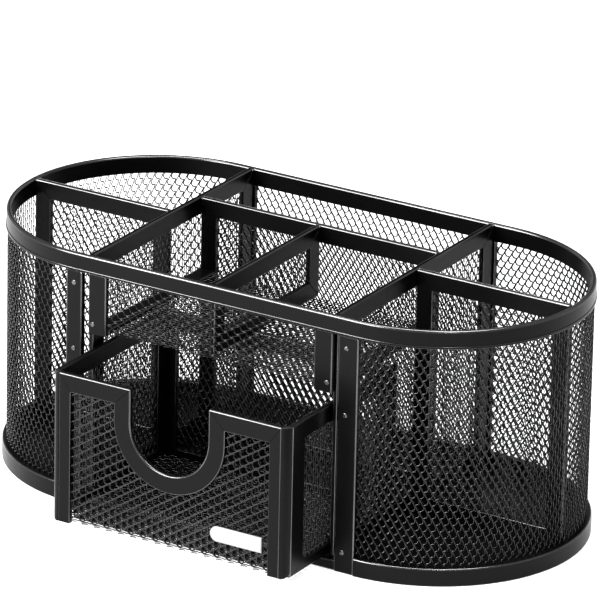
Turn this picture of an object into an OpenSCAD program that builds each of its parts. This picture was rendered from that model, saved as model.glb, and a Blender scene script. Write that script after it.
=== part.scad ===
// Mesh desk caddy: a wide tub with two round ends, seven open compartments and one small drawer.
// Units are millimetres. The desk is z = 0, the middle of the tub is x = 0 and y = 0,
// and the drawer opens towards -y.

/* [Tub] */
// Width of the tub over both round ends
tub_w = 238.8; // [200:0.2:280]
// Depth of the tub, which is also the diameter of the round ends
tub_d = 117.8; // [100:0.2:140]
// Height of the tub
tub_h = 99.5; // [80:0.5:130]
// Sideways shift of the drawer bay from the middle of the tub
bay_x = -2.4; // [-8:0.2:8]
// Distance between the two cross dividers, centre to centre
bay_w = 105.4; // [90:0.2:120]
// Width of the front opening between the two posts
mouth_w = 110.4; // [100:0.2:116]
// Width of the left front post
left_post_w = 6.8; // [5:0.1:10]
// Width of the right front post
right_post_w = 8.4; // [5:0.1:10]
// Place of the centre divider, measured back from the middle
centre_y = 19; // [10:0.5:30]
// Underside of the two small trays
tray_z = 69; // [55:0.5:80]

/* [Sheet metal] */
// Thickness of the mesh sheet
mesh_t = 1; // [0.6:0.1:1.6]
// Thickness of the folded strips on the tub
fold_t = 2.4; // [1.8:0.1:3]
// Thickness of the folded strips on dividers and drawer
strip_t = 2.2; // [1.6:0.1:3]
// Face width of the folded strips
strip_w = 7; // [4:0.5:10]
// Height of the rim and of the base band
band_h = 7; // [4:0.5:12]
// How far the base band stands out past the rim
band_out = 0.9; // [0:0.1:2]

/* [Drawer] */
// Width of the drawer
drawer_w = 101.6; // [90:0.2:104]
// Depth of the drawer, front to back
drawer_d = 76.4; // [60:0.2:77]
// Underside of the drawer above the desk
drawer_z = 4.4; // [4.2:0.1:8]
// Top edge of the drawer above the desk
drawer_top = 63.6; // [50:0.2:67]
// How far the drawer is drawn out at rest
pulled = 25.2; // [0:0.2:50]
// Radius of the finger notch
notch_r = 16.8; // [10:0.2:22]
// Height of the centre of the round bottom of the notch
notch_z = 50.4; // [40:0.2:56]

/* [Details] */
// Length of the blank label plate
label_w = 22; // [12:0.5:30]
// Height of the blank label plate
label_h = 6; // [4:0.5:10]
// Radius of one spot weld
weld_r = 0.9; // [0.5:0.1:1.5]

/* [Hidden] */
$fn = 96;
in_r = tub_d / 2 - band_out - fold_t;       // inner face of rim, posts and front panel
rim_r = tub_d / 2 - band_out;               // outer face of rim
band_r = tub_d / 2;                         // outer face of base band
half = tub_w / 2 - tub_d / 2;               // the round ends start here
wall_o = in_r + fold_t / 2 + mesh_t / 2;    // outer face of the wall mesh
wall_i = wall_o - mesh_t;                   // inner face of the wall mesh
under_rim = tub_h - band_h;
floor_z = 2;
floor_top = floor_z + mesh_t;
left_x = bay_x - bay_w / 2;                 // middle of the left cross divider
right_x = bay_x + bay_w / 2;                // middle of the right cross divider
post_in = mouth_w / 2;
left_edge = bay_x - post_in - left_post_w;    // outer edges of the two posts
right_edge = bay_x + post_in + right_post_w;
panel_half = post_in - 2.7;
bay_half = bay_w / 2 - strip_t / 2;         // inner faces of the two cross dividers
tray_top = tray_z + strip_t;
front_y = -rim_r - 1.3 - pulled;            // front face of the drawer
back_y = front_y + drawer_d;                // back face of the drawer
dr_half = drawer_w / 2;
left_end = -half - in_r + 0.05;             // where the two end dividers meet the rim
right_end = half + in_r - 0.05;
tray_back = centre_y - strip_t / 2;         // front face of the centre divider
corner_r = 3;
skin = (strip_t - mesh_t) / 2;              // a strip stands this far out past its mesh

// Part to draw

black = [0.13, 0.13, 0.14];
dark = [0.22, 0.22, 0.24];

// ---------- helpers ----------

// a box given by its two opposite corners
module block(a, b) {
    translate(a) cube(b - a);
}

// a flat outline with two round ends, outer radius r
module outline(r) {
    union() {
        translate([-half, 0]) circle(r = r);
        translate([half, 0]) circle(r = r);
        translate([-half, -r]) square([2 * half, 2 * r]);
    }
}

// a wall that follows the outline, between two radii and two heights
module ring_wall(r1, r2, z1, z2) {
    translate([0, 0, z1]) linear_extrude(z2 - z1) difference() {
        outline(r1);
        outline(r2);
    }
}

// section of the rolled rim: flat foot, rounded top
module rim_section() {
    r = 0.9;
    union() {
        translate([in_r, under_rim]) square([fold_t, band_h - r]);
        translate([in_r + r, tub_h - r - 0.1]) square([fold_t - 2 * r, r + 0.1]);
        translate([in_r + r, tub_h - r]) circle(r = r);
        translate([rim_r - r, tub_h - r]) circle(r = r);
    }
}

// flat frame of strips in the XZ plane, w wide at the four edges
module frame_xz(x1, x2, z1, z2, y, t, w) {
    difference() {
        block([x1, y - t / 2, z1], [x2, y + t / 2, z2]);
        block([x1 + w, y - t, z1 + w], [x2 - w, y + t, z2 - w]);
        block([x1 + 1, y - mesh_t / 2, z1 + 1], [x2 - 1, y + mesh_t / 2, z2 - 1]);
    }
}

// mesh sheet that fills such a frame
module sheet_xz(x1, x2, z1, z2, y) {
    block([x1 + 1, y - mesh_t / 2, z1 + 1], [x2 - 1, y + mesh_t / 2, z2 - 1]);
}

// flat frame of strips in the YZ plane
module frame_yz(y1, y2, z1, z2, x, t, w) {
    difference() {
        block([x - t / 2, y1, z1], [x + t / 2, y2, z2]);
        block([x - t, y1 + w, z1 + w], [x + t, y2 - w, z2 - w]);
        block([x - mesh_t / 2, y1 + 1, z1 + 1], [x + mesh_t / 2, y2 - 1, z2 - 1]);
    }
}

module sheet_yz(y1, y2, z1, z2, x) {
    block([x - mesh_t / 2, y1 + 1, z1 + 1], [x + mesh_t / 2, y2 - 1, z2 - 1]);
}

// the whole wall mesh, before it is cut into its three sheets
module wall_all() {
    ring_wall(wall_o, wall_i, 1, tub_h - 1.2);
}

// ---------- tub: rim, base and walls ----------

// the rim over a straight side, s = 0 rear or 1 front
module rim_straight(s) {
    difference() {
        mirror([0, s, 0]) translate([-half, 0, 0]) rotate([90, 0, 90])
            linear_extrude(2 * half) rim_section();
        wall_all();
    }
}

// the rim over a round end, s = -1 left or 1 right
module rim_round(s) {
    difference() {
        translate([s * half, 0, 0]) rotate([0, 0, -90 * s]) rotate_extrude(angle = 180) rim_section();
        wall_all();
    }
}

module rim_front() {
    color(black) rim_straight(1);
}

module rim_rear() {
    color(black) rim_straight(0);
}

module rim_left() {
    color(black) rim_round(-1);
}

module rim_right() {
    color(black) rim_round(1);
}

module base_band() {
    color(black) difference() {
        ring_wall(band_r, band_r - fold_t - 0.3, 0, band_h);
        wall_all();
        block([left_edge, -tub_d, -1], [right_edge, -in_r + 2, band_h + 1]);
    }
}

module front_sill() {
    color(black) block([bay_x - post_in, -rim_r, 0], [bay_x + post_in, -wall_i, drawer_z - 0.4]);
}

// one folded post at a front edge of the wall mesh, s = -1 left or 1 right
module post(s) {
    difference() {
        block([s < 0 ? left_edge : bay_x + post_in, -rim_r - 0.3, 0],
            [s < 0 ? bay_x - post_in : right_edge, -in_r, under_rim]);
        wall_cut(s);
    }
}

// what one wall sheet takes out of its post
module wall_cut(s) {
    intersection() {
        wall_all();
        block([s < 0 ? left_edge - 1 : bay_x + post_in + 1, -tub_d, -1],
            [s < 0 ? bay_x - post_in - 1 : right_edge + 1, 0, tub_h]);
    }
}

module left_post() {
    color(black) post(-1);
}

module right_post() {
    color(black) post(1);
}

// narrow upright strips that join the wall sheets behind the two cross dividers
module rear_seams() {
    color(black) for (x = [left_x, right_x]) difference() {
        block([x - 2, in_r, band_h], [x + 2, rim_r - 0.2, under_rim]);
        for (s = [-1, 1])
            block([x + s * 5 - 4.6, wall_i, 0], [x + s * 5 + 4.6, wall_o, tub_h]);
    }
}

module left_wall_mesh() {
    color(dark) difference() {
        wall_all();
        block([left_x - 0.4, 0, -1], [tub_w, tub_d, tub_h + 1]);
        block([bay_x - post_in - 1, -tub_d, -1], [tub_w, 0.01, tub_h + 1]);
    }
}

module rear_wall_mesh() {
    color(dark) block([left_x + 0.4, wall_i, 1], [right_x - 0.4, wall_o, tub_h - 1.2]);
}

module right_wall_mesh() {
    color(dark) difference() {
        wall_all();
        block([-tub_w, 0, -1], [right_x + 0.4, tub_d, tub_h + 1]);
        block([-tub_w, -tub_d, -1], [bay_x + post_in + 1, 0.01, tub_h + 1]);
    }
}

// the pressed sheet that closes the tub below, cut out round the two posts
module tub_floor() {
    color(black) difference() {
        translate([0, 0, floor_z]) linear_extrude(mesh_t) outline(band_r - fold_t - 0.3);
        block([left_edge, -tub_d, 0], [bay_x - post_in, -in_r, band_h]);
        block([bay_x + post_in, -tub_d, 0], [right_edge, -in_r, band_h]);
    }
}

// ---------- dividers ----------

module left_divider_frame() {
    color(black) frame_xz(left_end, left_x - strip_t / 2, floor_top, tub_h, 0, strip_t, strip_w);
}

module left_divider_mesh() {
    color(dark) sheet_xz(left_end, left_x - strip_t / 2, floor_top, tub_h, 0);
}

module right_divider_frame() {
    color(black) frame_xz(right_x + strip_t / 2, right_end, floor_top, tub_h, 0, strip_t, strip_w);
}

module right_divider_mesh() {
    color(dark) sheet_xz(right_x + strip_t / 2, right_end, floor_top, tub_h, 0);
}

module left_cross_frame() {
    color(black) frame_yz(-in_r, in_r, floor_top, tub_h, left_x, strip_t, strip_w);
}

module left_cross_mesh() {
    color(dark) sheet_yz(-in_r, in_r, floor_top, tub_h, left_x);
}

module right_cross_frame() {
    color(black) frame_yz(-in_r, in_r, floor_top, tub_h, right_x, strip_t, strip_w);
}

module right_cross_mesh() {
    color(dark) sheet_yz(-in_r, in_r, floor_top, tub_h, right_x);
}

module centre_divider_frame() {
    color(black)
        frame_xz(bay_x - bay_half, bay_x + bay_half, floor_top, tub_h, centre_y, strip_t, strip_w);
}

module centre_divider_mesh() {
    color(dark) sheet_xz(bay_x - bay_half, bay_x + bay_half, floor_top, tub_h, centre_y);
}

// ---------- front panel and small trays ----------

module tray_divider_frame() {
    color(black) frame_yz(-in_r, tray_back, tray_top, tub_h, bay_x, strip_t, strip_w);
}

module tray_divider_mesh() {
    color(dark) sheet_yz(-in_r, tray_back, tray_top, tub_h, bay_x);
}

// upright strip at one side of the front panel
module panel_strip(s) {
    x1 = s < 0 ? bay_x - panel_half : bay_x + panel_half - strip_w - 0.7;
    difference() {
        block([x1, -rim_r, tray_z], [x1 + strip_w + 0.7, -in_r, under_rim]);
        block([bay_x - panel_half + 1, -wall_o, tray_z + 1],
            [bay_x + panel_half - 1, -wall_i, tub_h - 1.2]);
    }
}

module left_panel_strip() {
    color(black) panel_strip(-1);
}

module right_panel_strip() {
    color(black) panel_strip(1);
}

module front_panel_mesh() {
    color(dark) block([bay_x - panel_half + 1, -wall_o, tray_z + 1],
        [bay_x + panel_half - 1, -wall_i, tub_h - 1.2]);
}

// side strips that carry the tray mesh along the two cross dividers
module tray_strips() {
    color(black) for (s = [0, 1]) translate([bay_x, 0, 0]) mirror([s, 0, 0]) difference() {
        block([bay_half - strip_w, -in_r, tray_z], [bay_half, tray_back, tray_top]);
        block([0, -in_r - 1, tray_z + skin], [bay_half - 1, tray_back + 1, tray_z + skin + mesh_t]);
    }
}

module tray_mesh() {
    color(dark) block([bay_x - bay_half + 1, -in_r, tray_z + skin],
        [bay_x + bay_half - 1, tray_back, tray_z + skin + mesh_t]);
}

// low strips on the floor that the drawer slides on
module drawer_runners() {
    color(black) for (s = [-1, 1])
        block([bay_x + s * 44 - 3, -in_r + 0.7, floor_top],
            [bay_x + s * 44 + 3, tray_back - strip_w, drawer_z - 0.4]);
}

// small domed welds on the front strips
module spot_welds() {
    s = rim_r + 0.3;
    color(black) {
        for (p = [[-post_in - 3.4, 8], [-post_in - 3.4, 88], [post_in + 3.4, 8], [post_in + 3.4, 88],
                [post_in + 3.4, 62], [-post_in - 3.4, 62]])
            translate([bay_x + p[0], -s, p[1]]) rotate([90, 0, 0])
                cylinder(r1 = weld_r, r2 = weld_r * 0.6, h = 0.3);
        for (p = [[-panel_half + 2, tray_z + 4], [panel_half - 2, tray_z + 4]])
            translate([bay_x + p[0], -rim_r, p[1]]) rotate([90, 0, 0])
                cylinder(r1 = weld_r, r2 = weld_r * 0.6, h = 0.3);
    }
}

// ---------- drawer ----------

// everything inside the finger notch, grown by g
module notch_space(g) {
    union() {
        translate([bay_x, 0, notch_z]) rotate([-90, 0, 0])
            translate([0, 0, front_y - 5]) cylinder(r = notch_r + g, h = 15);
        block([bay_x - notch_r - g, front_y - 5, notch_z],
            [bay_x + notch_r + g, front_y + 10, drawer_top + 5]);
    }
}

// the sheet in the plane of the drawer front, before the notch is cut
module front_sheet() {
    block([bay_x - dr_half + skin, front_y + skin, drawer_z + skin + mesh_t],
        [bay_x + dr_half - skin, front_y + skin + mesh_t, drawer_top - 1]);
}

// one half of the frame round the drawer front: upright with a rounded corner, and top strip
module front_frame(s) {
    translate([bay_x, 0, 0]) mirror([s < 0 ? 1 : 0, 0, 0]) translate([-bay_x, 0, 0]) difference() {
        union() {
            block([bay_x + dr_half - strip_w - 1, front_y, drawer_z],
                [bay_x + dr_half - corner_r, front_y + strip_t, drawer_top]);
            block([bay_x + notch_r, front_y, drawer_top - strip_w],
                [bay_x + dr_half - corner_r, front_y + strip_t, drawer_top]);
            translate([bay_x + dr_half - corner_r, front_y + corner_r, drawer_z])
                rotate([0, 0, -90]) rotate_extrude(angle = 90)
                    translate([corner_r - strip_t, 0]) square([strip_t, drawer_top - drawer_z]);
        }
        notch_space(strip_w);
        front_sheet();
        side_sheet();
    }
}

// the sheet in one side of the drawer
module side_sheet() {
    block([bay_x + dr_half - skin - mesh_t, front_y + skin + mesh_t, drawer_z + skin + mesh_t],
        [bay_x + dr_half - skin, back_y - skin - mesh_t, drawer_top - 1]);
}

module drawer_left_frame() {
    color(black) front_frame(-1);
}

module drawer_right_frame() {
    color(black) front_frame(1);
}

module drawer_notch_trim() {
    color(black) difference() {
        intersection() {
            block([bay_x - dr_half, front_y, drawer_z],
                [bay_x + dr_half, front_y + strip_t, drawer_top]);
            notch_space(strip_w);
        }
        notch_space(0);
        difference() {
            front_sheet();
            notch_space(1);
        }
    }
}

module drawer_front_mesh() {
    color(dark) difference() {
        front_sheet();
        notch_space(1);
    }
}

// flat frame in one side of the drawer
module side_frame() {
    x1 = bay_x + dr_half - strip_t;
    difference() {
        block([x1, front_y + corner_r, drawer_z], [x1 + strip_t, back_y, drawer_top]);
        block([x1 - 1, front_y + 12, drawer_z + 4],
            [x1 + strip_t + 1, back_y - strip_w, drawer_top - strip_w]);
        side_sheet();
        floor_sheet();
        back_sheet();
    }
}

module flip() {
    translate([bay_x, 0, 0]) mirror([1, 0, 0]) translate([-bay_x, 0, 0]) children();
}

module drawer_left_side_frame() {
    color(black) flip() side_frame();
}

module drawer_right_side_frame() {
    color(black) side_frame();
}

module drawer_left_side_mesh() {
    color(dark) flip() side_sheet();
}

module drawer_right_side_mesh() {
    color(dark) side_sheet();
}

module back_sheet() {
    block([bay_x - dr_half + skin, back_y - skin - mesh_t, drawer_z + skin + mesh_t],
        [bay_x + dr_half - skin, back_y - skin, drawer_top - 1]);
}

module drawer_back_frame() {
    color(black) difference() {
        block([bay_x - dr_half + strip_t, back_y - strip_t, drawer_z],
            [bay_x + dr_half - strip_t, back_y, drawer_top]);
        block([bay_x - dr_half + strip_w, back_y - 5, drawer_z + 4],
            [bay_x + dr_half - strip_w, back_y + 1, drawer_top - strip_w]);
        back_sheet();
        floor_sheet();
    }
}

module drawer_back_mesh() {
    color(dark) back_sheet();
}

module floor_sheet() {
    block([bay_x - dr_half + skin, front_y + skin, drawer_z + skin],
        [bay_x + dr_half - skin, back_y - skin, drawer_z + skin + mesh_t]);
}

module drawer_floor_mesh() {
    color(dark) difference() {
        floor_sheet();
        // the rounded uprights pass the two front corners of the sheet
        for (x = [bay_x - dr_half - 1, bay_x + dr_half - strip_w - 1])
            block([x, front_y - 1, drawer_z - 1], [x + strip_w + 2, front_y + corner_r, drawer_z + 3]);
    }
}

// blank plate on the drawer front, rounded at its left end
module label_plate() {
    z = drawer_z + 11.2;
    x = bay_x + 40.2;
    color([0.85, 0.85, 0.87]) translate([0, front_y + skin, 0]) rotate([90, 0, 0])
        linear_extrude(0.7) union() {
            translate([x - label_w + label_h / 2, z - label_h / 2])
                square([label_w - label_h / 2, label_h]);
            translate([x - label_w + label_h / 2, z]) circle(r = label_h / 2);
        }
}

// ---------- assembly ----------

rim_front();
rim_rear();
rim_left();
rim_right();
base_band();
front_sill();
left_post();
right_post();
rear_seams();
left_wall_mesh();
rear_wall_mesh();
right_wall_mesh();
tub_floor();
left_divider_frame();
left_divider_mesh();
right_divider_frame();
right_divider_mesh();
left_cross_frame();
left_cross_mesh();
right_cross_frame();
right_cross_mesh();
centre_divider_frame();
centre_divider_mesh();
tray_divider_frame();
tray_divider_mesh();
left_panel_strip();
right_panel_strip();
front_panel_mesh();
tray_strips();
tray_mesh();
drawer_runners();
spot_welds();
drawer_left_frame();
drawer_right_frame();
drawer_notch_trim();
drawer_front_mesh();
drawer_left_side_frame();
drawer_right_side_frame();
drawer_left_side_mesh();
drawer_right_side_mesh();
drawer_back_frame();
drawer_back_mesh();
drawer_floor_mesh();
label_plate();
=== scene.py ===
# %% [markdown]
# # A mesh desk caddy with a drawer
# The real thing is a wide tub of black expanded steel with two round ends. Folded strips
# edge every sheet, dividers make seven compartments, and a small open drawer slides out of
# the front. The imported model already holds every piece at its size, so this lesson only
# gives each piece its true surface: open mesh, folded strips, rolled rim and powder coat.

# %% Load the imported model
import math

import bmesh
import bpy
from mathutils import Matrix, Vector


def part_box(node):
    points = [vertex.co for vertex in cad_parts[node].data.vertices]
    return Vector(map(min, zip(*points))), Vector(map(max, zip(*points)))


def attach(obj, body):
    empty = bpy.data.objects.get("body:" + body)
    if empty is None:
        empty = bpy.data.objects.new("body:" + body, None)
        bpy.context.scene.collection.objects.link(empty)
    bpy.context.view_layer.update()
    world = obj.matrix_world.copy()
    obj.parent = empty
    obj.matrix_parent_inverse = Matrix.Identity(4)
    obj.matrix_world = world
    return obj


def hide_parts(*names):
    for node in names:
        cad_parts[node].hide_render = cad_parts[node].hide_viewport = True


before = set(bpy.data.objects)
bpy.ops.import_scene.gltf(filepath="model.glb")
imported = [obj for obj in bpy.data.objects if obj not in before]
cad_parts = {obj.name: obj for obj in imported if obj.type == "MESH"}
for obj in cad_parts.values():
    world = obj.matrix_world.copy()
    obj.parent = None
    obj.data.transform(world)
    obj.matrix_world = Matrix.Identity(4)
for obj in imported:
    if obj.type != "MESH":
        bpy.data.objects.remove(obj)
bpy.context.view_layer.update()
MM = 0.001

# %% [markdown]
# ## The camera
# The caddy was seen from the front and a little from the right and above, through a very
# long lens, so its edges stay nearly parallel. A camera can be turned by Euler angles, but
# building its matrix from the line of sight keeps the three angles readable: how far round,
# how far up, and how much the horizon leans.

# %% Camera
view_round = math.radians(31.04)
view_up = math.radians(21.35)
view_lean = math.radians(1.226)
view_distance = 2.6788
aim = Vector((-3.63, 7.98, 72.27)) * MM
sight = Vector((-math.sin(view_round) * math.cos(view_up),
                math.cos(view_round) * math.cos(view_up),
                -math.sin(view_up)))
level = Vector((math.cos(view_round), math.sin(view_round), 0))
upright = level.cross(sight)
across = level * math.cos(view_lean) + upright * math.sin(view_lean)
over = upright * math.cos(view_lean) - level * math.sin(view_lean)
camera = bpy.data.objects.new("camera", bpy.data.cameras.new("camera"))
bpy.context.collection.objects.link(camera)
turn = Matrix((across, over, -sight)).transposed().to_4x4()
camera.matrix_world = Matrix.Translation(aim - sight * view_distance) @ turn
camera.data.sensor_width = 36
camera.data.lens = 431.46
camera.data.clip_end = 50
bpy.context.scene.camera = camera
print("camera at", [round(x, 3) for x in camera.location])

# %% [markdown]
# ## Node trees as plain sums
# Materials and Geometry Nodes are both trees of nodes. Adding every Math node by hand makes
# a sum hard to read, so one small class stands for a socket: adding or multiplying two wires
# adds the Math node, and one method adds any other node.

# %% A socket that can be used like a number
class Wire:
    """A socket in a node tree. Sums and products of wires become Math nodes."""

    def __init__(self, tree, socket=None):
        self.tree = tree
        self.socket = socket

    def node(self, kind, settings=None, inputs=None, out=0):
        """Adds a node: its type, its settings first, then the values or wires of its sockets."""
        made = self.tree.nodes.new(kind)
        for name, value in (settings or {}).items():
            if name == "stops":
                for stop, (place, colour) in zip(made.color_ramp.elements, value):
                    stop.position, stop.color = place, colour
            else:
                setattr(made, name, value)
        for key, value in (inputs or {}).items():
            if isinstance(value, Wire):
                self.tree.links.new(value.socket, made.inputs[key])
            else:
                made.inputs[key].default_value = value
        return Wire(self.tree, made.outputs[out] if made.outputs else None)

    def other(self, name):
        """Another output of the node that this wire comes from."""
        return Wire(self.tree, self.socket.node.outputs[name])

    def maths(self, operation, *values):
        return self.node("ShaderNodeMath", {"operation": operation}, dict(enumerate(values)))

    def __add__(self, value):
        return self.maths("ADD", self, value)

    def __sub__(self, value):
        return self.maths("SUBTRACT", self, value)

    def __mul__(self, value):
        return self.maths("MULTIPLY", self, value)

    def __truediv__(self, value):
        return self.maths("DIVIDE", self, value)

    def __mod__(self, value):
        return self.maths("FLOORED_MODULO", self, value)

    def __gt__(self, value):
        return self.maths("GREATER_THAN", self, value)

    def __lt__(self, value):
        return self.maths("LESS_THAN", self, value)

    def __rsub__(self, value):
        return self.maths("SUBTRACT", value, self)

    def __neg__(self):
        return self * -1

    __radd__ = __add__
    __rmul__ = __mul__


# %% [markdown]
# ## Black powder coat
# The steel was sprayed with powder and baked. That leaves a black, half-glossy skin with a
# faint orange-peel ripple and a trace of fine grain. On a rounded edge the melted powder
# draws thin and shiny, and hands and pens polish it. A flat black would look like a hole, so
# noise moves the colour and the roughness a little, a ripple and a grain go into the bump,
# and an attribute named edge, which the mesh code writes on every rounded edge, turns on a
# glossy coat there, broken up by noise as real wear is.

# %% The powder coat
def powder_coat(name, colour, rubbed, roughness, mirror, shine, ripple, grain):
    """A baked powder finish. ripple and grain are bump heights in metres."""
    finish = bpy.data.materials.new(name)
    finish.use_nodes = True
    tree = finish.node_tree
    tree.nodes.clear()
    net = Wire(tree)
    where = net.node("ShaderNodeTexCoord", out="Object")
    cloud = net.node("ShaderNodeTexNoise", inputs={"Vector": where, "Scale": 38.0, "Detail": 3.0})
    peel = net.node("ShaderNodeTexNoise", inputs={"Vector": where, "Scale": 620.0, "Detail": 2.0})
    speck = net.node("ShaderNodeTexNoise", inputs={"Vector": where, "Scale": 2600.0, "Detail": 1.0})
    edge = net.node("ShaderNodeAttribute", {"attribute_name": "edge"}, out="Fac")
    patchy = net.node("ShaderNodeMapRange", inputs={
        "Value": cloud + speck * 0.4, "From Min": 0.55, "From Max": 0.9})
    worn = edge * patchy
    tone = net.node("ShaderNodeMix", {"data_type": "RGBA"}, {
        0: cloud, 6: (*[c * 0.8 for c in colour], 1), 7: (*[c * 1.25 for c in colour], 1)}, out=2)
    paint = net.node("ShaderNodeMix", {"data_type": "RGBA"}, {
        0: worn, 6: tone, 7: (*rubbed, 1)}, out=2)
    gloss = roughness - 0.05 + cloud * 0.08 + speck * 0.05 - worn * 0.08
    skin = net.node("ShaderNodeBump", inputs={
        "Height": peel * ripple + speck * grain, "Distance": 1.0, "Strength": 1.0})
    shader = net.node("ShaderNodeBsdfPrincipled", inputs={
        "Base Color": paint, "Roughness": gloss, "Normal": skin, "Specular IOR Level": mirror,
        "Coat Weight": (patchy * 0.45 + 0.55) * edge * shine, "Coat Roughness": 0.18,
        "Coat IOR": 1.9})
    net.node("ShaderNodeOutputMaterial", inputs={"Surface": shader})
    return finish


steel_finish = powder_coat("black_powder_coat", (0.0012, 0.0011, 0.0012), (0.008, 0.008, 0.008),
                           0.28, 0.085, 1.0, 0.000012, 0.000004)
mesh_finish = powder_coat("black_powder_on_mesh", (0.0012, 0.0011, 0.0012), (0.01, 0.01, 0.01),
                          0.24, 0.1, 0.7, 0.000010, 0.000006)
print("finishes:", steel_finish.name, mesh_finish.name)

# %% [markdown]
# ## Expanded mesh
# Expanded mesh starts as a plain sheet. A press cuts rows of short slits and pulls the sheet
# out, so it opens into diamonds. What is left are thin strands that zigzag side by side and
# are joined at short bonds; each strand leans out of the sheet like a slat. One diamond could
# be copied twenty thousand times, but Geometry Nodes can follow the press more closely: a row
# of upright lines, each point pushed left or right by turns, then swept with a small flat
# section that leans. The strands that fall to the right stay straight, bonds included, and
# those that rise to the right leave level and then climb. The same tree cuts the sheet to
# size, leaves a notch open, and wraps the sheet round an end of the tub.

# %% Start a Geometry Nodes tree
def start_tree(name, sizes, takes_geometry=False):
    """A tree with a named input for every size, and a wire for each of them."""
    tree = bpy.data.node_groups.new(name, "GeometryNodeTree")
    tree.interface.new_socket("Geometry", in_out="OUTPUT", socket_type="NodeSocketGeometry")
    if takes_geometry:
        tree.interface.new_socket("Geometry", in_out="INPUT", socket_type="NodeSocketGeometry")
    for label, value in sizes.items():
        kind = "NodeSocketInt" if isinstance(value, int) else "NodeSocketFloat"
        tree.interface.new_socket(label, in_out="INPUT", socket_type=kind).default_value = value
    tree.interface.new_socket("Finish", in_out="INPUT", socket_type="NodeSocketMaterial")
    source = tree.nodes.new("NodeGroupInput")
    return tree, {socket.name: Wire(tree, socket) for socket in source.outputs if socket.name}


# %% End a Geometry Nodes tree
def end_tree(net, shape, finish):
    """Real geometry and a finish, because copies that stay instances would be lost."""
    real = net.node("GeometryNodeRealizeInstances", inputs={0: shape})
    smooth = net.node("GeometryNodeSetShadeSmooth", inputs={0: real, "Shade Smooth": True})
    coated = net.node("GeometryNodeSetMaterial", inputs={0: smooth, "Material": finish})
    net.node("NodeGroupOutput", inputs={0: coated})


# %% Where a point is, as three wires
def position(net):
    """The x of every point; its y and z are the other outputs."""
    return net.node("ShaderNodeSeparateXYZ", inputs={0: net.node("GeometryNodeInputPosition")})


# %% The tree that makes expanded mesh
POINTS_A_ROW = 3       # the foot and the head of a bond, and one half way to the next bond
BOND_OVERLAP = 0.94    # strands bite into each other by the rest of their width
CLIMB_DROP = 0.36      # how low a climbing strand starts, as a share of its rise
mesh_sizes = {
    "Width": 0.1, "Height": 0.1, "Short pitch": 3.1 * MM, "Long pitch": 5.1 * MM,
    "Bond": 1.3 * MM, "Strand width": 0.66 * MM, "Strand thickness": 0.32 * MM,
    "Lean": math.radians(46), "Level start": 0.3, "Unevenness": 0.03 * MM,
    "Notch down": 0.0, "Notch along": 0.0, "Notch radius": 0.0,
    "Bend radius": 0.0, "Bend from": 0.0, "Seed": 7}


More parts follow.
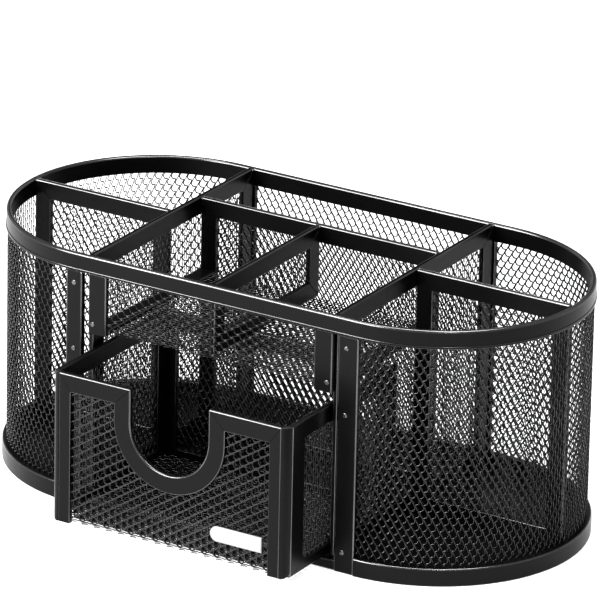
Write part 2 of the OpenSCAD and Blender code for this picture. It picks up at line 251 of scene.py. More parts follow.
def expanded_mesh_tree():
    tree, size = start_tree("expanded_mesh", mesh_sizes)
    net = Wire(tree)
    width, height = size["Width"], size["Height"]
    step = size["Short pitch"] * 0.5
    rise = size["Long pitch"] * 0.5
    strand, lean = size["Strand width"], size["Lean"]
    rows = net.maths("CEIL", height / rise) + 3
    columns = net.maths("CEIL", width / step) + 1
    # one upright line of points for each strand
    line = net.node("GeometryNodeMeshLine", inputs={"Count": rows * POINTS_A_ROW, "Offset": (0, MM, 0)})
    feet = net.node("GeometryNodeMeshLine", inputs={"Count": columns, "Offset": (MM, 0, 0)})
    lines = net.node("GeometryNodeInstanceOnPoints", inputs={"Points": feet, "Instance": line})
    loose = net.node("GeometryNodeRealizeInstances", inputs={0: lines})
    # which strand and row each point is in, and which of the three it is
    index = net.node("GeometryNodeInputIndex")
    column = net.maths("FLOOR", index / (rows * POINTS_A_ROW))
    place = index % (rows * POINTS_A_ROW)
    row = net.maths("FLOOR", place / POINTS_A_ROW)
    stage = place - row * POINTS_A_ROW
    half_way = stage > 1.5
    end = (1 - half_way) * (stage * 2 - 1)
    side = 1 - ((row + column) % 2) * 2
    climbs = half_way * (side < 0.0)
    # push the points left and right by turns
    flat_width = strand * net.maths("COSINE", lean)
    swing = (step - flat_width * BOND_OVERLAP) * 0.5
    bond = size["Bond"]
    slant = swing * bond / rise
    x = (column * step - (columns - 1) * step * 0.5 + side * swing * (1 - half_way) - end * slant
         + climbs * size["Level start"] * (swing + slant))
    y = (row * rise + end * bond * 0.5 + half_way * rise * 0.5
         - climbs * (rise - bond) * CLIMB_DROP - (rows - 1) * rise * 0.5)
    uneven = net.node("FunctionNodeRandomValue", {"data_type": "FLOAT"},
                      {2: -1.0, 3: 1.0, "Seed": size["Seed"]}, out=1)
    z = (uneven * size["Unevenness"]
         - side * (1 - half_way) * strand * 0.5 * net.maths("SINE", lean))
    spot = net.node("ShaderNodeCombineXYZ", inputs={0: x, 1: y, 2: z})
    zigzag = net.node("GeometryNodeSetPosition", inputs={0: loose, "Position": spot})
    # cut away what lies outside the sheet or inside the notch
    here = position(net)
    past_x = net.maths("ABSOLUTE", here) - width * 0.5
    past_y = net.maths("ABSOLUTE", here.other("Y")) - height * 0.5
    outside = net.maths("MAXIMUM", past_x, past_y) > 0.0
    below = net.maths("MAXIMUM", here - size["Notch down"], 0.0)
    beside = here.other("Y") - size["Notch along"]
    in_notch = net.maths("SQRT", below * below + beside * beside) < size["Notch radius"]
    cut = net.node("GeometryNodeDeleteGeometry", {"domain": "POINT"},
                   {0: zigzag, "Selection": outside + in_notch})
    # sweep the leaning section along every strand
    strands = net.node("GeometryNodeMeshToCurve", inputs={0: cut})
    level_strands = net.node("GeometryNodeSetCurveNormal", {"mode": "Z_UP"}, {0: strands})
    leaning = net.node("GeometryNodeSetCurveTilt", inputs={0: level_strands, "Tilt": lean})
    ring = net.node("GeometryNodeMeshCircle", inputs={"Vertices": 6, "Radius": 1.0})
    ring_spot = position(net)
    section_spot = net.node("ShaderNodeCombineXYZ", inputs={
        0: ring_spot * strand * 0.5,
        1: ring_spot.other("Y") * size["Strand thickness"] * 0.5 / math.sin(math.radians(60))})
    section = net.node("GeometryNodeSetPosition", inputs={0: ring, "Position": section_spot})
    marked = net.node("GeometryNodeStoreNamedAttribute", {"data_type": "FLOAT"}, {
        0: section, "Name": "edge", "Value": net.maths("ABSOLUTE", here) > strand * 0.45})
    profile = net.node("GeometryNodeMeshToCurve", inputs={0: marked})
    solid = net.node("GeometryNodeCurveToMesh", inputs={
        "Curve": leaning, "Profile Curve": profile, "Fill Caps": True})
    # wrap the flat sheet round a half circle, with straight ends
    at = position(net)
    radius = size["Bend radius"]
    along = at - size["Bend from"]
    half_turn = radius * math.pi
    arc = net.maths("MINIMUM", net.maths("MAXIMUM", along, 0.0), half_turn)
    angle = arc / radius
    before = net.maths("MINIMUM", along, 0.0)
    after = net.maths("MAXIMUM", along - half_turn, 0.0)
    out = at.other("Z") + radius
    wrapped = net.node("ShaderNodeCombineXYZ", inputs={
        0: out * net.maths("SINE", angle) + before - after,
        1: radius - out * net.maths("COSINE", angle),
        2: at.other("Y")})
    bent = net.node("GeometryNodeSetPosition", inputs={
        0: solid, "Selection": radius > 0.0, "Position": wrapped})
    end_tree(net, bent, size["Finish"])
    return tree


mesh_tree = expanded_mesh_tree()
print("expanded mesh tree:", len(mesh_tree.nodes), "nodes")

# %% [markdown]
# ## Running a tree once
# A live modifier would make the mesh again at every look, and an export would lose its
# copies. So the tree runs once on a helper object, the result is kept as a plain mesh laid
# straight into its place, and the helper is thrown away.

# %% Keep what a tree makes
def grow(name, tree, sizes, finish, place, start=None):
    """Runs a tree with these sizes and keeps the result as one piece."""
    maker = bpy.data.objects.new(name + "_maker", start or bpy.data.meshes.new(name + "_start"))
    bpy.context.collection.objects.link(maker)
    steps = maker.modifiers.new("make", "NODES")
    steps.node_group = tree
    for item in tree.interface.items_tree:
        if item.in_out == "INPUT" and item.name in sizes:
            steps[item.identifier] = sizes[item.name]
        if item.name == "Finish":
            steps[item.identifier] = finish
    graph = bpy.context.evaluated_depsgraph_get()
    mesh = bpy.data.meshes.new_from_object(maker.evaluated_get(graph))
    mesh.transform(place)
    mesh.name = name
    bpy.data.objects.remove(maker)
    piece = bpy.data.objects.new(name, mesh)
    bpy.context.collection.objects.link(piece)
    return piece


def settle(piece, body, slot, *nodes):
    """Lets a finished piece ride on its body and stand for its CAD nodes."""
    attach(piece, body)
    if nodes:
        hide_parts(*nodes)
    print(piece.name, len(piece.data.polygons), "faces")


# %% Where flat pieces lie
X, Y, Z = Vector((1, 0, 0)), Vector((0, 1, 0)), Vector((0, 0, 1))


def lay(along, up, centre):
    """Turns a flat piece so that its x runs along, its y runs up, and its middle is at centre."""
    return Matrix.Translation(centre) @ Matrix((along, up, along.cross(up))).transposed().to_4x4()


def middle(node):
    low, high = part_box(node)
    return (low + high) / 2, high - low


# %% [markdown]
# ## The flat sheets
# Every divider holds its mesh with the long way of the diamonds upright. The front panel,
# the trays, the drawer front and the drawer floor were folded from sheet that lies the
# other way, with wider and lower holes. Each sheet is as large as its CAD node, and its cut
# edge ends inside a folded strip.

# %% Mesh in the dividers and the drawer
flat_sheets = [
    # piece, body, x of the sheet runs along, y of the sheet runs along
    ("left_divider_mesh", "tub", X, Z),
    ("right_divider_mesh", "tub", X, Z),
    ("centre_divider_mesh", "tub", X, Z),
    ("rear_wall_mesh", "tub", X, Z),
    ("left_cross_mesh", "tub", Y, Z),
    ("right_cross_mesh", "tub", Y, Z),
    ("tray_divider_mesh", "tub", Y, Z),
    ("front_panel_mesh", "tub", -Z, X),
    ("tray_mesh", "tub", Y, -X),
    ("drawer_left_side_mesh", "drawer", Y, Z),
    ("drawer_right_side_mesh", "drawer", Y, Z),
    ("drawer_back_mesh", "drawer", X, Z),
    ("drawer_floor_mesh", "drawer", Y, -X)]
wide_holes = {"Short pitch": 3.5 * MM, "Long pitch": 5.3 * MM, "Bond": 1.5 * MM}


def span(size, direction):
    return abs(size.dot(direction))


for node, body, along, up in flat_sheets:
    centre, size = middle(node)
    sizes = {"Width": span(size, along), "Height": span(size, up)}
    if up in (X, -X):
        sizes |= wide_holes
    piece = grow(node.replace("_mesh", "_expanded_mesh"), mesh_tree, sizes, mesh_finish,
                 lay(along, up, centre))
    settle(piece, body, "mesh", node)

# %% [markdown]
# ## The sheet in the drawer front
# It is a flat sheet too, but a finger notch with a round bottom is cut down from its top
# edge. The tree leaves that space open, and the notch trim hides the cut ends. Its strands
# lean the other way from those of the other sheets. That is a choice made for looks, to show
# less of the pale floor through its foot, and not something known of the real sheet.

# %% Mesh in the drawer front
strip_width = 7 * MM
notch_margin = 3 * MM
centre, size = middle("drawer_front_mesh")
trim_low, trim_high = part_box("drawer_notch_trim")
notch_radius = (trim_high.x - trim_low.x) / 2 - strip_width
notch_centre = Vector(((trim_low.x + trim_high.x) / 2, 0, trim_low.z + notch_radius + strip_width))
drawer_front_mesh = grow("drawer_front_expanded_mesh", mesh_tree, {
    "Width": size.z, "Height": size.x, "Lean": math.radians(-46), **wide_holes,
    "Notch down": centre.z - notch_centre.z, "Notch along": notch_centre.x - centre.x,
    "Notch radius": notch_radius + notch_margin}, mesh_finish, lay(-Z, X, centre))
settle(drawer_front_mesh, "drawer", "mesh", "drawer_front_mesh")
print("notch radius", round(notch_radius / MM, 2), "mm")

# %% [markdown]
# ## The turned-up edge of the drawer floor
# The foot of the drawer front looks doubled. One reading is that the front edge of the floor
# is bent up behind the front sheet, so a low second strip is laid there. It is a guess, and
# its strands are wider than the rest only to close the holes.

# %% Mesh behind the foot of the drawer front
turned_up = 8 * MM
behind_front = 1.05 * MM
quarter_pitch = 0.25 * wide_holes["Long pitch"]
edge_centre = centre + Y * behind_front + X * quarter_pitch
edge_centre.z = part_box("drawer_floor_mesh")[1].z + turned_up / 2
edge_mesh = grow("drawer_floor_turned_up_edge", mesh_tree, {
    "Width": turned_up, "Height": size.x - 2 * strip_width, "Strand width": 1.7 * MM,
    "Lean": math.radians(-20), "Seed": 11, **wide_holes}, mesh_finish, lay(-Z, X, edge_centre))
settle(edge_mesh, "drawer", "mesh")

# %% [markdown]
# ## The two wrapped walls
# Each end wall is one sheet that starts at the back, goes round the end and stops in the
# post beside the drawer. The tree needs to know where along the sheet the bend starts.

# %% Mesh round the two ends
rear_centre, rear_size = middle("rear_wall_mesh")
wall_radius = rear_centre.y
end_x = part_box("rim_rear")[1].x
post_overlap = 1 * MM
for side, node, post in ((-1, "left_wall_mesh", "left_post"), (1, "right_wall_mesh", "right_post")):
    low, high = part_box(node)
    rear_end = high.x if side < 0 else low.x
    post_low, post_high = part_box(post)
    front_end = post_high.x - post_overlap if side < 0 else post_low.x + post_overlap
    rear_straight = abs(side * end_x - rear_end)
    front_straight = abs(side * end_x - front_end)
    width = rear_straight + math.pi * wall_radius + front_straight
    first = rear_straight if side < 0 else front_straight
    start_point = Vector((side * end_x, -side * wall_radius, (low.z + high.z) / 2))
    wall = grow(node.replace("_mesh", "_expanded_mesh"), mesh_tree, {
        "Width": width, "Height": high.z - low.z, "Bend radius": wall_radius,
        "Bend from": first - width / 2}, mesh_finish, lay(X * side, Y * side, start_point))
    settle(wall, "tub", "mesh", node)
    print(node, "is", round(width / MM, 1), "mm long when flat")

# %% [markdown]
# ## Folded strips
# Every edge is covered by a strip folded over the mesh, and where two strips meet at a
# corner they are cut at an angle, which shows as a fine line. A box with a bevel could stand
# for a strip, but its corners would be square. Here a strip is a section carried along the
# outer edge of the frame: at a corner the section is cut along the line where both strips
# meet, each strip stays a solid of its own, and its end is drawn in a little so that the
# joint catches the light.

# %% A section with rounded corners
def rounded(corners, steps=4):
    """Corners as (in, across, radius); gives points with 1 amid a rounded edge and 0 elsewhere."""
    points = []
    for i, (a, b, radius) in enumerate(corners):
        here = Vector((a, b))
        back = (Vector(corners[i - 1][:2]) - here).normalized()
        on = (Vector(corners[(i + 1) % len(corners)][:2]) - here).normalized()
        if radius == 0:
            points.append((here, 0.0))
            continue
        half = back.angle(on) / 2
        hub = here + (back + on).normalized() * radius / math.sin(half)
        first = here + back * radius / math.tan(half) - hub
        turn = first.angle_signed(here + on * radius / math.tan(half) - hub)
        for k in range(steps + 1):
            spoke = first.copy()
            spoke.rotate(Matrix.Rotation(-turn * k / steps, 2))
            points.append((hub + spoke, 1.0 if 0 < k < steps else 0.0))
    return points


def strip_section(width, thickness, outer=0.65 * MM, inner=0.3 * MM, groove=0.0):
    """End view of a folded strip, with a groove along its outer edge where it has one."""
    half = thickness / 2
    corners = [(0, -half, outer)]
    if groove:
        mouth = 0.35 * half
        corners += [(0, -mouth, 0.1 * MM), (groove, -mouth * 0.8, 0), (groove, mouth * 0.8, 0),
                    (0, mouth, 0.1 * MM)]
    corners += [(0, half, outer), (width, half, inner), (width, -half, inner)]
    return rounded(corners)


# %% Carry a section along the edge of a frame
SAME_HEADING = 0.9999  # cosine above which two stretches count as one line
SHARP_TURN = 0.6       # radians above which a corner is mitred


def edge_offset(before, after, near, far):
    """Where a point goes that lies near in from the strip before a corner and far in from the next."""
    turned = before.dot(after)
    if turned > SAME_HEADING:
        return before * near
    return ((before - after * turned) * near + (after - before * turned) * far) / (1 - turned ** 2)


def carry(work, edge_layer, path, section, closed=False, widths=None, keep=None,
          joint_gap=0.05 * MM, draw_in=0.22 * MM):
    """Adds one closed solid for each stretch of path between two sharp corners.

    The material lies to the left of the path. widths scales the strip on each stretch."""
    count = len(path)
    spans = count if closed else count - 1
    heading = [(path[(i + 1) % count] - path[i]).normalized() for i in range(spans)]
    inward = [Vector((-h.y, h.x)) for h in heading]
    deep = max(p.x for p, _ in section)
    sharp = [i for i in range(count)
             if (closed or 0 < i < count - 1) and heading[i - 1].angle(heading[i % spans]) > SHARP_TURN]
    if closed and sharp:
        first = sharp[0]
        runs = [(a, (sharp + [first + count])[k + 1]) for k, a in enumerate(sharp)]
    elif closed:
        runs = [(0, count)]
    else:
        stops = [0] + sharp + [count - 1]
        runs = list(zip(stops, stops[1:]))
    scale = [(w / deep if w else 1.0) for w in (widths or [None] * len(runs))]
    span_scale = [1.0] * spans
    for k, (a, b) in enumerate(runs):
        for i in range(a, b):
            span_scale[i % spans] = scale[k]

    def ring(i, shift, inset):
        """The section at corner i, moved along by shift and drawn in by inset."""
        before = (i - 1) % spans if (closed or i > 0) else 0
        after = i % spans if (closed or i < count - 1) else spans - 1
        made = []
        across_half = max(abs(p.y) for p, _ in section)
        middle_across = (max(p.y for p, _ in section) + min(p.y for p, _ in section)) / 2
        for p, edge in section:
            d = deep / 2 + (p.x - deep / 2) * (1 - 2 * inset / deep)
            n = middle_across + (p.y - middle_across) * (1 - inset / across_half)
            off = edge_offset(inward[before], inward[after], d * span_scale[before],
                              d * span_scale[after])
            q = path[i % count] + off + shift
            vertex = work.verts.new((q.x, q.y, n))
            vertex[edge_layer] = 1.0 if inset else edge
            made.append(vertex)
        return made

    for k, (a, b) in enumerate(runs):
        if keep is not None and k not in keep:
            continue
        whole = closed and not sharp
        if whole:
            rings = [ring(i, Vector((0, 0)), 0) for i in range(a, b)]
            rings.append(rings[0])
        else:
            go, come = heading[a % spans], heading[(b - 1) % spans]
            rings = [ring(a, go * joint_gap, draw_in), ring(a, go * (joint_gap + draw_in), 0)]
            rings += [ring(i, Vector((0, 0)), 0) for i in range(a + 1, b)]
            rings += [ring(b, -come * (joint_gap + draw_in), 0), ring(b, -come * joint_gap, draw_in)]
        join_rings(work, rings, open_ends=whole)


# %% Join rings and finish a mesh
def join_rings(work, rings, open_ends=False):
    """Faces between rings of equal length, and one that closes either end."""
    if not open_ends:
        work.faces.new(rings[0])
        work.faces.new(rings[-1][::-1])
    for one, two in zip(rings, rings[1:]):
        for j in range(len(one)):
            m = (j + 1) % len(one)
            work.faces.new((one[j], two[j], two[m], one[m]))


def finished(name, work, finish):
    """Turns finished bmesh work into an object that is smooth up to its sharp edges."""
    bmesh.ops.recalc_face_normals(work, faces=work.faces)
    mesh = bpy.data.meshes.new(name)
    work.to_mesh(mesh)
    work.free()
    mesh.materials.append(finish)
    mesh.polygons.foreach_set("use_smooth", [True] * len(mesh.polygons))
    mesh.set_sharp_from_angle(angle=math.radians(38))
    piece = bpy.data.objects.new(name, mesh)
    bpy.context.collection.objects.link(piece)
    return piece


# %% Finish a piece of sheet metal
def sheet_metal(name, place, *jobs):
    """Makes one piece out of several carried sections. Each job is (path, section, settings)."""
    work = bmesh.new()
    edge_layer = work.verts.layers.float.new("edge")
    for path, section, settings in jobs:
        carry(work, edge_layer, path, section, **settings)
    piece = finished(name, work, steel_finish)
    piece.data.transform(place)
    even = piece.modifiers.new("flat faces stay flat", "WEIGHTED_NORMAL")
    even.keep_sharp = True
    graph = bpy.context.evaluated_depsgraph_get()
    piece.data = bpy.data.meshes.new_from_object(piece.evaluated_get(graph))
    piece.data.name = name
    piece.modifiers.clear()
    return piece


def rectangle(low_u, low_v, high_u, high_v):
    return [Vector(p) for p in ((low_u, low_v), (high_u, low_v), (high_u, high_v), (low_u, high_v))]


# %% [markdown]
# ## Frames of the dividers
# Each divider is a mesh sheet in a frame of four mitred strips. The strip along the top was
# folded from two layers, so a fine groove runs along it between two bright edges.

# %% Divider frames
strip_thickness = middle("left_cross_frame")[1].x
plain = strip_section(strip_width, strip_thickness)
grooved = strip_section(strip_width, strip_thickness, groove=0.5 * MM)
print("strips are", round(strip_thickness / MM, 2), "mm thick")


def divider_frame(node, along):
    """Four mitred strips round a divider that runs along x or y."""
    centre, size = middle(node)
    wide, tall = span(size, along) / 2, size.z / 2
    outline = rectangle(-wide, -tall, wide, tall)
    piece = sheet_metal(node.replace("_frame", "_folded_frame"), lay(along, Z, centre),
                        (outline, plain, {"closed": True, "keep": (0, 1, 3)}),
                        (outline, grooved, {"closed": True, "keep": (2,)}))
    settle(piece, "tub", "steel", node)


for node in ("left_divider_frame", "right_divider_frame", "centre_divider_frame"):
    divider_frame(node, X)
for node in ("left_cross_frame", "right_cross_frame", "tray_divider_frame"):
    divider_frame(node, Y)

# %% [markdown]
# ## Rim and base band
# The rim is one strip rolled over the top edge of all the walls, with a round top and a fine
# bead along its lower edge. The base band is a wider strip round the foot, which stops at
# the two posts. Both follow the same outline, so a loop with two half circles is the path.

# %% Outline of the tub
def tub_outline(radius, steps=40):
    """The outline of the tub as a list of points, anticlockwise from the front right."""
    points = []
    for side, start in ((1, -90), (-1, 90)):
        for k in range(steps + 1):
            angle = math.radians(start + 180 * k / steps)
            points.append(Vector((side * end_x + radius * math.cos(angle),
                                  radius * math.sin(angle))))
    return points


rim_low, rim_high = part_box("rim_rear")
rim_radius = rim_high.y
rim_deep = rim_high.y - rim_low.y
rim_tall = rim_high.z - rim_low.z
bead = 0.25 * MM
rim_section = rounded([
    (0, 0, 0.22 * MM), (0, 0.9 * MM, 0.3 * MM), (bead, 1.2 * MM, 0), (bead, rim_tall, 0.95 * MM),
    (rim_deep, rim_tall, 0.95 * MM), (rim_deep, 0, 0.25 * MM)])
rim = sheet_metal("rolled_rim", Matrix.Translation(Z * rim_low.z),
                  (tub_outline(rim_radius), rim_section, {"closed": True}))
settle(rim, "tub", "steel", "rim_front", "rim_rear", "rim_left", "rim_right")

# %% Base band
band_low, band_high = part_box("base_band")
band_radius = band_high.y
band_tall = band_high.z
band_deep = 2.7 * MM
band_section = rounded([(0, 0, 0.4 * MM), (0, band_tall, 0.6 * MM),
                        (band_deep, band_tall, 0.3 * MM), (band_deep, 0, 0.2 * MM)])
left_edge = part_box("left_post")[0].x
right_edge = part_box("right_post")[1].x


def band_end(x):
    """Where the band stops at a post, on the round part of the outline."""
    return Vector((x, -math.sqrt(band_radius ** 2 - (abs(x) - end_x) ** 2)))


round_the_tub = [p for p in tub_outline(band_radius) if p.y > 0 or not left_edge < p.x < right_edge]
band_path = [band_end(right_edge)] + round_the_tub + [band_end(left_edge)]
band = sheet_metal("folded_base_band", Matrix.Identity(4), (band_path, band_section, {}))
settle(band, "tub", "steel", "base_band")

# %% [markdown]
# ## The floor
# The floor is hardly seen, so its shape is a guess: a plain sheet let into the base band,
# with a shallow channel inside its edge. All of that follows the outline, so rings of
# different radius and height are joined to each other, and one face closes the middle.

# %% Pressed floor sheet
floor_low, floor_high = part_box("tub_floor")
channel = 0.5 * MM
floor_rings = [  # how far in from the edge, and how high
    (0.3 * MM, floor_low.z), (0, floor_low.z + 0.3 * MM), (0, floor_high.z - 0.3 * MM),
    (0.3 * MM, floor_high.z), (1.6 * MM, floor_high.z), (2.3 * MM, floor_high.z - channel),
    (4.2 * MM, floor_high.z - channel), (4.9 * MM, floor_high.z)]
work = bmesh.new()
join_rings(work, [[work.verts.new((p.x, p.y, height)) for p in tub_outline(floor_high.y - inset)]
                  for inset, height in floor_rings])
floor_sheet = finished("pressed_floor_sheet", work, steel_finish)
settle(floor_sheet, "tub", "steel", "tub_floor")

# %% [markdown]
# ## Straight strips
# Posts, panel strips, seams, tray strips, runners and the sill are straight pieces of the
# same folded strip. Each is one section carried along a short line.

# %% Straight strips
def bar_job(low, high, along, outer=0.55 * MM, inner=0.55 * MM):
    """A straight strip that fills a box, as a job for sheet_metal in the plane of its face."""
    centre, size = (low + high) / 2, high - low
    length = span(size, along)
    flat = X if along != X else (Z if size.z > size.y else Y)
    width = span(size, flat)
    thickness = size.x + size.y + size.z - length - width
    path = [Vector((width / 2, -length / 2)), Vector((width / 2, length / 2))]
    return lay(flat, along, centre), (path, strip_section(width, thickness, outer, inner),
                                      {"joint_gap": 0.0, "draw_in": 0.3 * MM})


def straight_strips(name, node, boxes, along, body="tub"):
    """One piece made of straight strips that all run the same way."""
    parts = []
    for i, (low, high) in enumerate(boxes):
        place, job = bar_job(low, high, along)
        parts.append(sheet_metal(f"{name}_{i}", place, job))
    piece = parts[0]
    if len(parts) > 1:
        with bpy.context.temp_override(active_object=piece, selected_editable_objects=parts):
            bpy.ops.object.join()
    piece.name = name
    piece.data.name = name
    settle(piece, body, "steel", node)
    return piece


def two_boxes(node, width):
    """The boxes of two equal strips at the two sides of one CAD node."""
    low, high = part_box(node)
    return [(low, Vector((low.x + width, high.y, high.z))),
            (Vector((high.x - width, low.y, low.z)), high)]


for node in ("left_post", "right_post", "left_panel_strip", "right_panel_strip"):
    straight_strips(node.replace("_strip", "") + "_folded_strip", node, [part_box(node)], Z)
straight_strips("rear_seam_strips", "rear_seams", two_boxes("rear_seams", 4 * MM), Z)
straight_strips("tray_edge_strips", "tray_strips", two_boxes("tray_strips", strip_width), Y)
straight_strips("drawer_runner_strips", "drawer_runners", two_boxes("drawer_runners", 6 * MM), Y)
straight_strips("front_sill_strip", "front_sill", [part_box("front_sill")], X)

# %% [markdown]
# ## The drawer front
# One strip runs up the drawer's left side, along the top, down round the finger notch, up
# again, along the top and down the right side. Its path is one open outline with four sharp
# corners, so it gives five stretches: two uprights, two top strips and the notch trim. The
# outer edges of the front are rolled round the corner, as quarter tubes.

# %% Strips round the drawer front
left_low, left_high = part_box("drawer_left_frame")
right_low, right_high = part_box("drawer_right_frame")
corner_radius = 3 * MM
front_centre = Vector((notch_centre.x, left_low.y + strip_thickness / 2, 0))
half_drawer = (right_high.x - left_low.x) / 2
bottom, top = left_low.z, left_high.z
upright_x = half_drawer - corner_radius
upright_width = 5 * MM
notch_path = [Vector((notch_radius * math.cos(a), notch_centre.z - notch_radius * math.sin(a)))
              for a in [math.pi * k / 28 for k in range(29)]]
front_path = ([Vector((upright_x, bottom)), Vector((upright_x, top)), Vector((notch_radius, top))]
              + notch_path
              + [Vector((-notch_radius, top)), Vector((-upright_x, top)), Vector((-upright_x, bottom))])
front_widths = [upright_width, None, None, None, upright_width]
close_mitres = {"joint_gap": 0.015 * MM, "draw_in": 0.08 * MM}
front_place = lay(X, Z, front_centre)


def corner_roll(side):
    """Plan outline of the rolled corner."""
    hub = Vector((side * upright_x, left_low.y + corner_radius))
    outer = [hub + Vector((side * math.sin(a), -math.cos(a))) * corner_radius
             for a in [math.pi / 2 * k / 8 for k in range(9)]]
    inner_radius = corner_radius - strip_thickness
    inner = [hub + Vector((side * math.sin(a), -math.cos(a))) * inner_radius
             for a in [math.pi / 2 * k / 4 for k in range(4, -1, -1)]]
    return outer + inner


def drawer_roll(name, side):
    """A quarter tube that stands at one front corner of the drawer."""
    work = bmesh.new()
    edge_layer = work.verts.layers.float.new("edge")
    outline = corner_roll(side)
    lip, foot = 0.3 * MM, 2.1 * MM
    # the outer lower corner is rounded off, so low rings reach less far out
    levels = [(bottom + foot * (1 - math.cos(a)), foot * (1 - math.sin(a)), 0)
              for a in [math.pi / 2 * k / 6 for k in range(7)]]
    levels += [(top - lip, 0, 0), (top - lip * 0.3, 0, lip * 0.3), (top, 0, lip)]
    hub = sum(outline, Vector((0, 0))) / len(outline)
    rings = []
    for height, short, inset in levels:
        rings.append([])
        reach = half_drawer - short
        for p in outline:
            q = p + (hub - p).normalized() * inset
            vertex = work.verts.new((side * min(abs(q.x), reach) + notch_centre.x, q.y, height))
            vertex[edge_layer] = 1.0 if inset else 0.0
            rings[-1].append(vertex)
    join_rings(work, rings)
    return finished(name, work, steel_finish)


for side, node, keep in ((-1, "drawer_left_frame", (3, 4)), (1, "drawer_right_frame", (0, 1))):
    piece = sheet_metal(node.replace("_frame", "_front_strips"), front_place,
                        (front_path, plain, {"widths": front_widths, "keep": keep, **close_mitres}))
    roll = drawer_roll(node.replace("_frame", "_corner_roll"), side)
    settle(piece, "drawer", "steel", node)
    settle(roll, "drawer", "steel")
trim = sheet_metal("finger_notch_trim", front_place,
                   (front_path, plain, {"widths": front_widths, "keep": (2,), **close_mitres}))
settle(trim, "drawer", "steel", "drawer_notch_trim")

# %% Sides and back of the drawer
def drawer_frame(node, along, widths):
    """A mitred frame whose four strips have their own widths: bottom, far end, top, near end."""
    centre, size = middle(node)
    wide, tall = span(size, along) / 2, size.z / 2
    piece = sheet_metal(node.replace("_frame", "_folded_frame"), lay(along, Z, centre),
                        (rectangle(-wide, -tall, wide, tall), plain,
                         {"closed": True, "widths": [w * MM for w in widths], **close_mitres}))
    settle(piece, "drawer", "steel", node)


drawer_frame("drawer_left_side_frame", Y, (4, 7, 7, 9))
drawer_frame("drawer_right_side_frame", Y, (4, 7, 7, 9))
drawer_frame("drawer_back_frame", X, (4, 4.8, 7, 4.8))

# %% [markdown]
# ## Spot welds
# The posts and panel strips are spot welded to the mesh. Each weld is a low dome, so a small
# tree puts the same dome on every point, and the points are read from the CAD node.

# %% Weld domes
weld_sizes = {"Radius": 1.0 * MM, "Height": 0.3 * MM}
weld_stand_off = 0.12 * MM


def weld_tree():
    tree, size = start_tree("weld_domes", weld_sizes, True)
    net = Wire(tree)
    ball = net.node("GeometryNodeMeshUVSphere", inputs={"Segments": 14, "Rings": 8, "Radius": 1.0})
    spot = position(net)
    low = net.node("ShaderNodeCombineXYZ", inputs={
        0: spot * size["Radius"], 1: spot.other("Y") * size["Radius"],
        2: spot.other("Z") * size["Height"]})
    dome = net.node("GeometryNodeSetPosition", inputs={0: ball, "Position": low})
    marked = net.node("GeometryNodeStoreNamedAttribute", {"data_type": "FLOAT"},
                      {0: dome, "Name": "edge", "Value": 1.0})
    domes = net.node("GeometryNodeInstanceOnPoints", inputs={
        "Points": size["Geometry"], "Instance": marked, "Rotation": (math.radians(90), 0, 0)})
    end_tree(net, domes, size["Finish"])
    return tree


def islands(node):
    """The middle of every separate solid in a CAD node."""
    work = bmesh.new()
    work.from_mesh(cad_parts[node].data)
    bmesh.ops.remove_doubles(work, verts=work.verts, dist=0.01 * MM)
    left, found = set(work.verts), []
    while left:
        group, edge_of = set(), [left.pop()]
        while edge_of:
            vertex = edge_of.pop()
            group.add(vertex)
            near = [e.other_vert(vertex) for e in vertex.link_edges]
            edge_of += [v for v in near if v in left]
            left -= set(near)
        found.append(sum((v.co for v in group), Vector()) / len(group))
    work.free()
    return found


weld_points = islands("spot_welds")
points = bpy.data.meshes.new("weld_points")
points.from_pydata([p + Y * weld_stand_off for p in weld_points], [], [])
welds = grow("spot_weld_domes", weld_tree(), weld_sizes, steel_finish, Matrix.Identity(4), points)
settle(welds, "tub", "welds", "spot_welds")
print(len(weld_points), "welds")

# %% [markdown]
# ## The blank plate
# A small plate of satin metal is fixed to the mesh at the lower right of the drawer front,
# with a round left end. It stays blank. Its outline is one section, drawn in at the front
# for a soft edge, and fine brush lines run along it.

# %% Finish of the plate
def satin_metal():
    finish = bpy.data.materials.new("satin_plate")
    finish.use_nodes = True
    tree = finish.node_tree
    tree.nodes.clear()
    net = Wire(tree)
    where = net.node("ShaderNodeTexCoord", out="Object")
    drawn = net.node("ShaderNodeMapping", inputs={"Vector": where, "Scale": (60.0, 2400.0, 2400.0)})
    brush = net.node("ShaderNodeTexNoise", inputs={"Vector": drawn, "Scale": 1.0, "Detail": 3.0})
    cloud = net.node("ShaderNodeTexNoise", inputs={"Vector": where, "Scale": 180.0, "Detail": 2.0})
    paint = net.node("ShaderNodeMix", {"data_type": "RGBA"}, {
        0: brush * 0.6 + cloud * 0.4, 6: (0.26, 0.265, 0.27, 1), 7: (0.34, 0.345, 0.355, 1)}, out=2)
    skin = net.node("ShaderNodeBump", inputs={"Height": brush * 0.00001, "Distance": 1.0})
    shader = net.node("ShaderNodeBsdfPrincipled", inputs={
        "Base Color": paint, "Roughness": 0.34 + cloud * 0.1, "Normal": skin, "Metallic": 0.35})
    net.node("ShaderNodeOutputMaterial", inputs={"Surface": shader})
    return finish


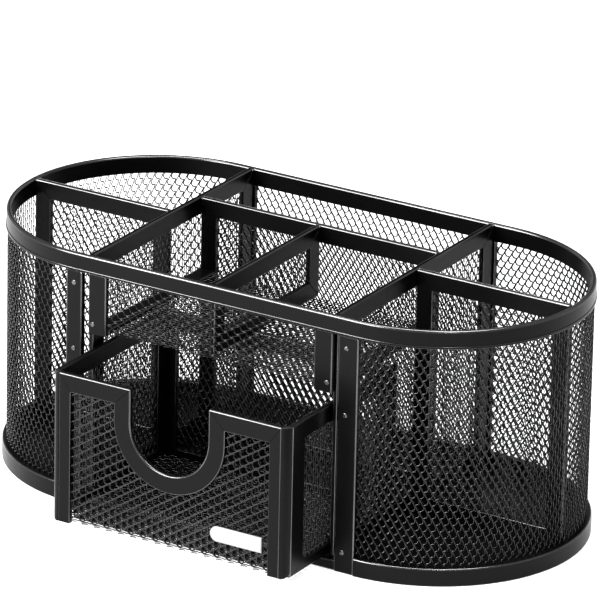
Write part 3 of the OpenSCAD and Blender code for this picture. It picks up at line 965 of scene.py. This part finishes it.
# %% The plate
def blank_plate():
    low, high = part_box("label_plate")
    radius = (high.z - low.z) / 2
    hub = Vector((low.x + radius, (low.z + high.z) / 2))
    outline = [hub + Vector((-math.sin(a), math.cos(a))) * radius
               for a in [math.pi * k / 16 for k in range(17)]]
    outline += [Vector((high.x, low.z)), Vector((high.x, high.z))]
    crown = 0.25 * MM
    levels = ((high.y, 0), (low.y + crown, 0), (low.y, crown))
    middle_point = Vector(((low.x + high.x) / 2, hub.y))
    work = bmesh.new()
    rings = []
    for depth, inset in levels:
        shrink = Vector((1 - inset / ((high.x - low.x) / 2), 1 - inset / radius))
        rings.append([work.verts.new((middle_point.x + (p - middle_point).x * shrink.x, depth,
                                      middle_point.y + (p - middle_point).y * shrink.y))
                      for p in outline])
    join_rings(work, rings)
    return finished("blank_plate", work, satin_metal())


settle(blank_plate(), "drawer", "label", "label_plate")

# %% [markdown]
# ## Floor and light
# Black steel shows its shape only by what it mirrors. The upright faces mirror the pale floor,
# which glows a little so that it stays white. A long box overhead draws bright lines on the
# rounded edges, a large one at the front left lights the tilted parts of the mesh, and a
# small weak one stands at the front right.

# %% Floor
floor_mesh = bpy.data.meshes.new("studio_floor")
reach = 6.0
floor_corners = [(-reach, -reach, 0), (reach, -reach, 0), (reach, reach, 0), (-reach, reach, 0)]
floor_mesh.from_pydata(floor_corners, [], [(0, 1, 2, 3)])
floor = bpy.data.objects.new("studio_floor", floor_mesh)
bpy.context.collection.objects.link(floor)
floor_finish = bpy.data.materials.new("pale_floor")
floor_finish.use_nodes = True
paper = floor_finish.node_tree.nodes["Principled BSDF"]
paper.inputs["Base Color"].default_value = (0.72, 0.72, 0.72, 1)
paper.inputs["Emission Color"].default_value = (1, 1, 1, 1)
paper.inputs["Emission Strength"].default_value = 0.4
paper.inputs["Roughness"].default_value = 0.9
paper.inputs["Specular IOR Level"].default_value = 0.1
floor_mesh.materials.append(floor_finish)

# %% Light
def soft_box(name, place, target, width, height, watts):
    """A rectangular light that faces a point."""
    lamp = bpy.data.lights.new(name, "AREA")
    lamp.shape = "RECTANGLE"
    lamp.size, lamp.size_y = width, height
    lamp.energy = watts
    box = bpy.data.objects.new(name, lamp)
    bpy.context.collection.objects.link(box)
    box.location = place
    box.rotation_euler = (Vector(target) - Vector(place)).to_track_quat("-Z", "Y").to_euler()


mid_height = (0, 0, 0.05)
soft_box("top_box", (0.05, -0.15, 1.3), mid_height, 1.3, 0.3, 30)
soft_box("front_left_box", (-0.62, -1.12, 0.66), mid_height, 0.9, 0.7, 50)
soft_box("front_right_box", (0.87, -1.0, 1.08), mid_height, 0.2, 0.2, 4)
world = bpy.data.worlds.new("studio")
world.use_nodes = True
world.node_tree.nodes["Background"].inputs["Color"].default_value = (1, 1, 1, 1)
world.node_tree.nodes["Background"].inputs["Strength"].default_value = 0.4
bpy.context.scene.world = world
bpy.context.scene.view_settings.view_transform = "Standard"
